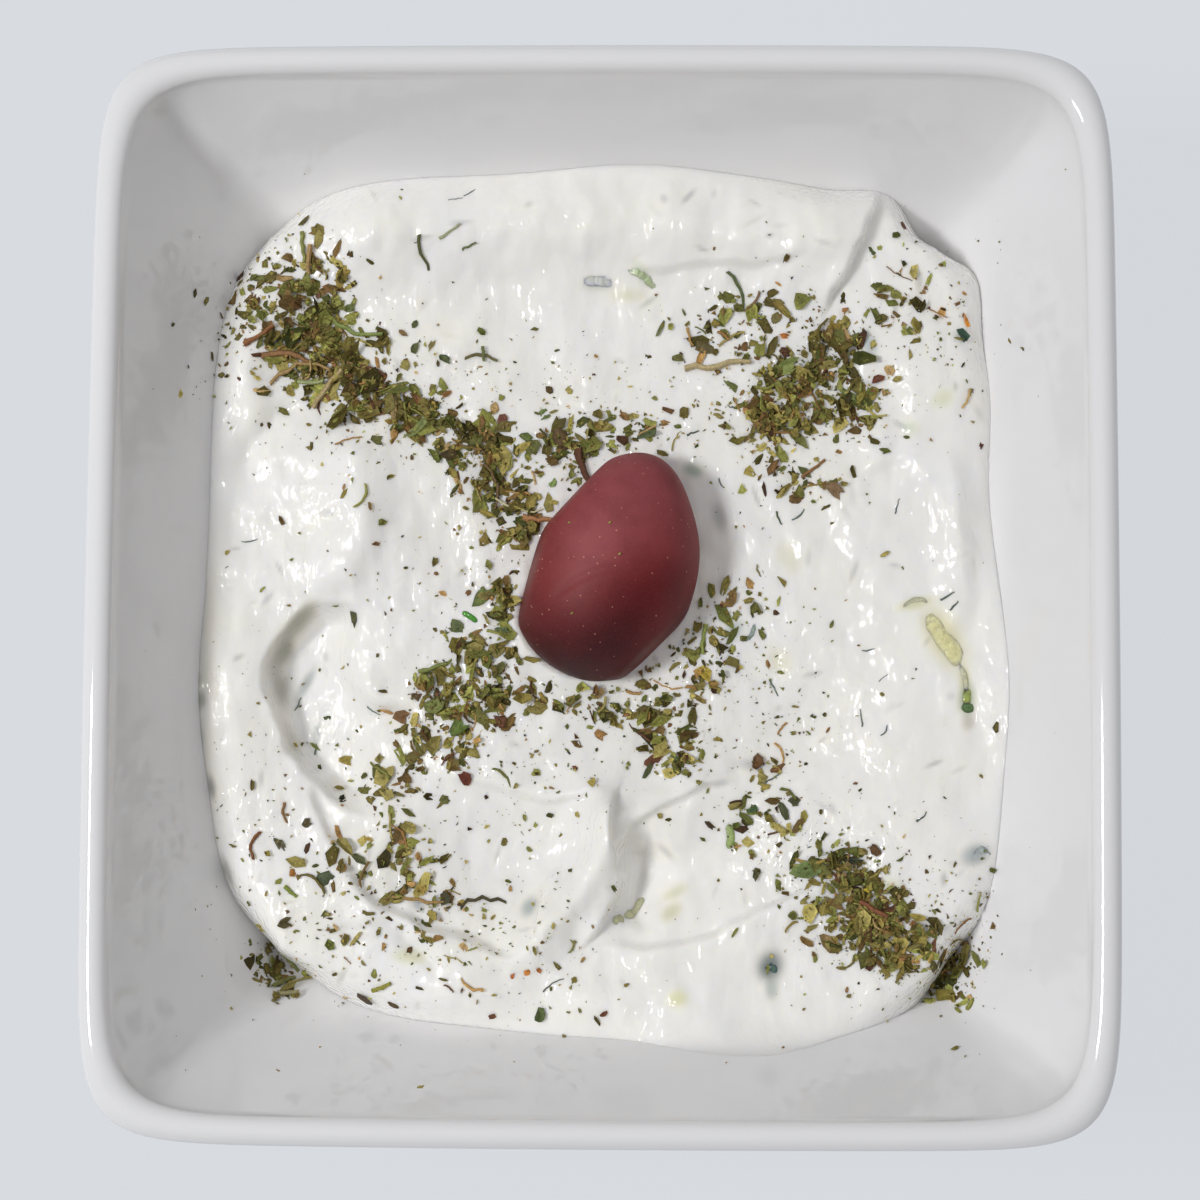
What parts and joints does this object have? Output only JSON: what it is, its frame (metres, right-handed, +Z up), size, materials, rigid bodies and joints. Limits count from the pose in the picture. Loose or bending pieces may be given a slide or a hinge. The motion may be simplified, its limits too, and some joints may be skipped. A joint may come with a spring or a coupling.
{
  "type": "tzatziki dip in a dish",
  "caption": "Tzatziki dip of strained yogurt in a small square-rimmed white porcelain dish that narrows to its foot, with a dark olive pressed into the top.",
  "frame": {"origin": "on the table under the middle of the dish, at the centre of the bounding box's bottom face", "axes": "+Z up out of the dish, +Y along the dish's longer side towards the far side, +X along its shorter side"},
  "size_m": [0.105, 0.1126, 0.042],
  "materials": {
    "porcelain": "clear glaze on white porcelain, glossy, matte only on the foot",
    "yogurt": "thick white strained yogurt, satin and slightly translucent",
    "olive_skin": "smooth dark wine-red olive skin with pale dots",
    "herbs": "dry crumbled leaf",
    "cucumber": "wet grated cucumber"
  },
  "bodies": {
    "root": {"dish": "porcelain", "tzatziki": "yogurt", "olive": "olive_skin"}
  },
  "joints": []
}
